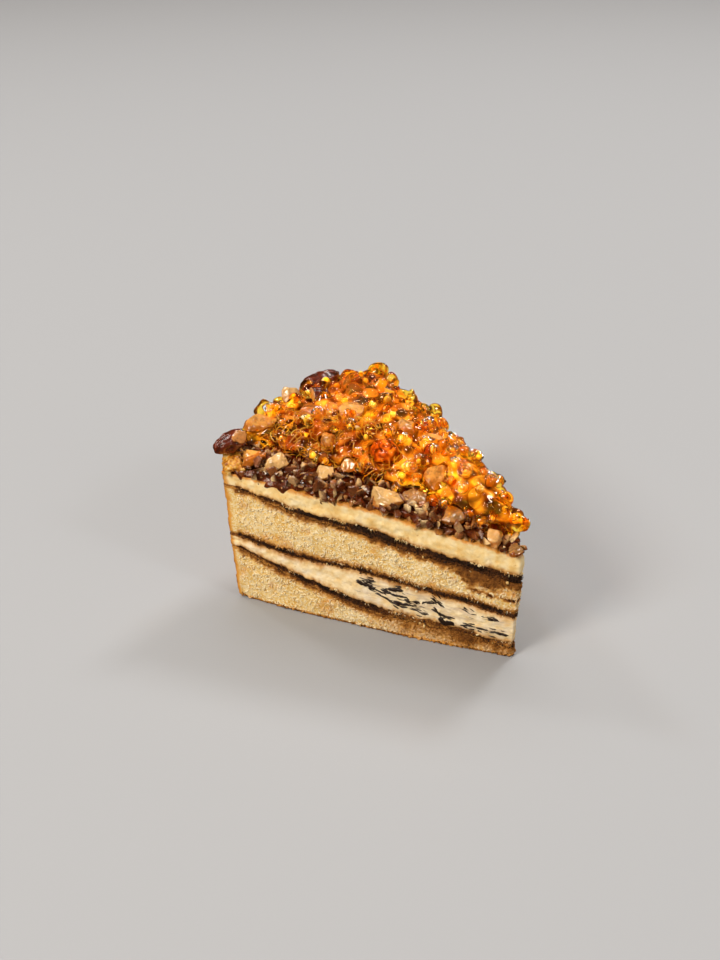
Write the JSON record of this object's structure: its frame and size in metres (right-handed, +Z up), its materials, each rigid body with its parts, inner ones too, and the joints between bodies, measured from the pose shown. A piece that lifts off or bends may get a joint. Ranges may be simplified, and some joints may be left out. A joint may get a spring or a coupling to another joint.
{
  "type": "almond tiramisu cake slice",
  "caption": "Wedge of layered almond tiramisu cake: sponge with dark coffee soak and cream, under a topping of caramel almonds and clear amber sugar lumps.",
  "frame": {"origin": "middle of the slice's footprint, on the surface it stands on", "axes": "+X along the slice from the rim to the tip, +Y across it to the far cut, +Z up"},
  "size_m": [0.121, 0.0896, 0.0746],
  "materials": {
    "sponge": "open, dry crumb",
    "coffee_soak": "damp, dull",
    "cream": "soft satin",
    "caramel_nuts": "glazed",
    "amber_sugar": "clear and glossy",
    "almond_skin": "glazed",
    "almond_flesh": "glazed"
  },
  "bodies": {
    "root": {"sponge_bottom": "sponge", "coffee_soak_lower": "coffee_soak", "cream_middle": "cream", "coffee_soak_middle": "coffee_soak", "sponge_middle": "sponge", "coffee_soak_upper": "coffee_soak", "cream_top": "cream", "nut_bed": "caramel_nuts", "amber_crust": "amber_sugar", "amber_jelly": "amber_sugar", "almond_whole_corner": "almond_skin", "almond_tan_corner": "almond_flesh", "almond_pale_corner": "almond_flesh", "almond_half_rim": "almond_flesh", "almond_cube_rim": "almond_flesh", "almond_whole_back": "almond_skin", "almond_low_back": "almond_skin", "almond_tan_rim": "almond_flesh", "almond_heart": "almond_flesh", "almond_round": "almond_flesh", "almond_pale_front": "almond_flesh", "almond_tan_front": "almond_flesh", "almond_blanched_edge": "almond_flesh", "almond_slice_edge": "almond_flesh", "almond_flat_top": "almond_flesh", "almond_sliver_far": "almond_flesh", "almond_red_far": "almond_flesh", "almond_brown_near": "almond_flesh", "almond_pale_tip": "almond_flesh", "almond_brown_tip": "almond_flesh"}
  },
  "joints": []
}
